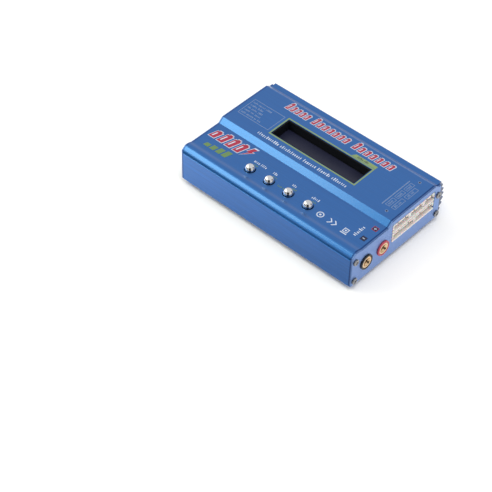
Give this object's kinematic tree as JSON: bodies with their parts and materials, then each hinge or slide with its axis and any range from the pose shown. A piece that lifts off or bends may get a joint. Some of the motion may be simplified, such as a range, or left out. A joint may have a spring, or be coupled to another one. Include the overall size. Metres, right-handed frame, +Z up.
{
  "type": "balance battery charger",
  "caption": "Blue anodised aluminium box with a stepped lid, a display window, a row of round keys, banana sockets and balance headers at one end.",
  "frame": {"origin": "on the standing surface, under the middle of the whole charger", "axes": "+X out of the output end, +Y towards the finned rear side, +Z up"},
  "size_m": [0.133, 0.086, 0.0306],
  "materials": {
    "case_blue": "satin blue anodised extrusion",
    "plate_blue": "satin light blue anodised sheet",
    "screw_steel": "bright nickel-plated steel",
    "foot_rubber": "matt black",
    "board_green": "solder-masked glass-epoxy board",
    "post_brass": "nickel-free turned brass",
    "backlight_white": "diffusing block",
    "lcd_glass": "unlit dark display glass",
    "bezel_black": "black painted steel frame",
    "black_plastic": "moulded black",
    "pin_gold": "plated square pins",
    "key_chrome": "mirror chrome",
    "socket_black": "black nylon",
    "socket_red": "red nylon",
    "contact_brass": "turned brass, lightly lacquered",
    "nut_nickel": "nickel plate",
    "nylon_white": "natural white nylon",
    "ferrite": "sintered ferrite",
    "copper_wire": "enamelled copper",
    "capacitor_sleeve": "shrink sleeve",
    "thermal_grey": "silicone insulating sheet",
    "bare_aluminium": "mill finish"
  },
  "bodies": {
    "charger": {"bottom_case": "case_blue", "top_cover": "case_blue", "output_end_plate": "plate_blue", "input_end_plate": "plate_blue", "end_plate_screws": "screw_steel", "rubber_feet": "foot_rubber", "main_board": "board_green", "lcd_board": "board_green", "balance_board": "board_green", "board_posts": "post_brass", "board_screws": "screw_steel", "lcd_spacers": "post_brass", "lcd_backlight": "backlight_white", "lcd_glass": "lcd_glass", "lcd_bezel": "bezel_black", "window_shroud": "black_plastic", "lcd_header_strip": "black_plastic", "lcd_header_pins": "pin_gold", "switch_bodies": "black_plastic", "negative_socket_insulator": "socket_black", "positive_socket_insulator": "socket_red", "negative_socket_contact": "contact_brass", "positive_socket_contact": "contact_brass", "socket_nuts": "nut_nickel", "output_straps": "contact_brass", "balance_pins": "pin_gold", "balance_link_pins": "pin_gold", "sensor_port_pins": "pin_gold", "power_jack_body": "black_plastic", "power_jack_pin": "contact_brass", "power_jack_spring": "nut_nickel", "sensor_port": "nylon_white", "inductor_core": "ferrite", "inductor_winding": "copper_wire", "output_choke": "ferrite", "capacitors": "capacitor_sleeve", "thermal_pad": "thermal_grey", "transistor_tabs": "nut_nickel", "power_transistors": "black_plastic", "clamp_bar": "bare_aluminium", "clamp_screws": "screw_steel", "microcontroller": "black_plastic", "buzzer": "black_plastic", "input_fuse": "capacitor_sleeve", "output_shunt": "contact_brass", "balance_resistors": "black_plastic", "driver_chips": "black_plastic", "balance_header_3_pin": "nylon_white", "balance_header_4_pin": "nylon_white", "balance_header_5_pin": "nylon_white", "balance_header_6_pin": "nylon_white", "balance_header_7_pin": "nylon_white"},
    "stop_key": {"stop_key_cap": "key_chrome", "stop_switch_plunger": "black_plastic"},
    "decrease_key": {"decrease_key_cap": "key_chrome", "decrease_switch_plunger": "black_plastic"},
    "increase_key": {"increase_key_cap": "key_chrome", "increase_switch_plunger": "black_plastic"},
    "start_key": {"start_key_cap": "key_chrome", "start_switch_plunger": "black_plastic"}
  },
  "joints": [
    {"name": "stop_key_press", "type": "slide", "parent": "charger", "child": "stop_key", "axis": [0, 0, -1], "range_m": [0, 0.0004], "stiffness_N_per_m": 4000, "springref_m": -0.0001},
    {"name": "decrease_key_press", "type": "slide", "parent": "charger", "child": "decrease_key", "axis": [0, 0, -1], "range_m": [0, 0.0004], "stiffness_N_per_m": 4000, "springref_m": -0.0001},
    {"name": "increase_key_press", "type": "slide", "parent": "charger", "child": "increase_key", "axis": [0, 0, -1], "range_m": [0, 0.0004], "stiffness_N_per_m": 4000, "springref_m": -0.0001},
    {"name": "start_key_press", "type": "slide", "parent": "charger", "child": "start_key", "axis": [0, 0, -1], "range_m": [0, 0.0004], "stiffness_N_per_m": 4000, "springref_m": -0.0001}
  ]
}
